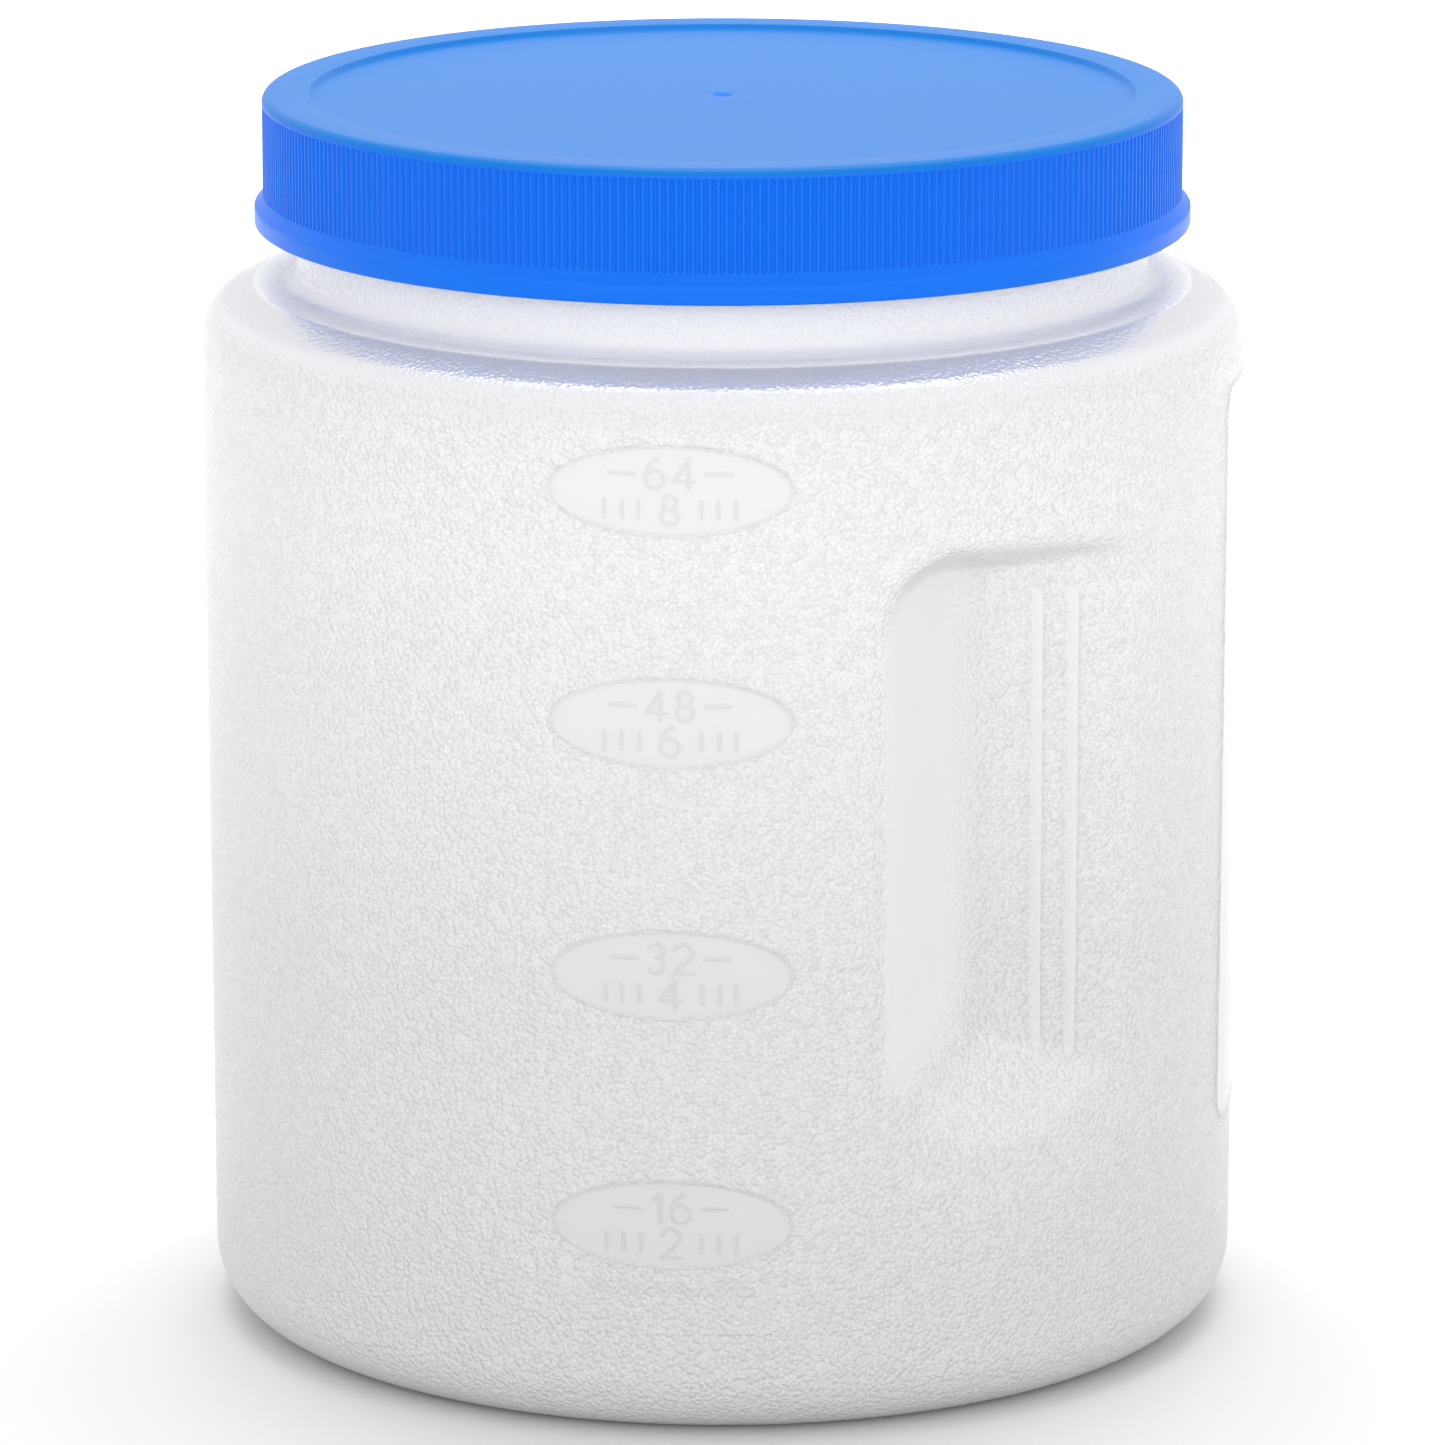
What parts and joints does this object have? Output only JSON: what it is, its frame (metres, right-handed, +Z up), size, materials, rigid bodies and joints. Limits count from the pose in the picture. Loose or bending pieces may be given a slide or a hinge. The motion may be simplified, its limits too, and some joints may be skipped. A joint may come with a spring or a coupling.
{
  "type": "storage jar",
  "caption": "Translucent blow-moulded wide-mouth storage jar with finger grips, volume marks and a ribbed screw lid.",
  "frame": {"origin": "centre of the circle that the jar stands on", "axes": "+Z up along the jar's axis, -Y towards the volume marks"},
  "size_m": [0.144, 0.144, 0.1722],
  "materials": {
    "jar_plastic": "translucent natural polyethylene with a fine pebble grain, smoother on the neck and in the ovals",
    "lid_plastic": "satin injection-moulded polypropylene",
    "liner_foam": "matt closed-cell foam"
  },
  "bodies": {
    "jar": {"jar": "jar_plastic"},
    "liner": {"liner": "liner_foam"},
    "lid": {"lid": "lid_plastic"}
  },
  "joints": [
    {"name": "lid_lift", "type": "slide", "parent": "jar", "child": "liner", "axis": [0, 0, 1], "range_m": [0, 0.02033]},
    {"name": "lid_turn", "type": "hinge", "parent": "liner", "child": "lid", "pos_m": [0, 0, 0.1696], "axis": [0, 0, 1], "range_deg": [0, 1440]}
  ],
  "couplings": [
    {"joint": "lid_lift", "follows": "lid_turn", "m_per_rad": 0.00080851}
  ]
}
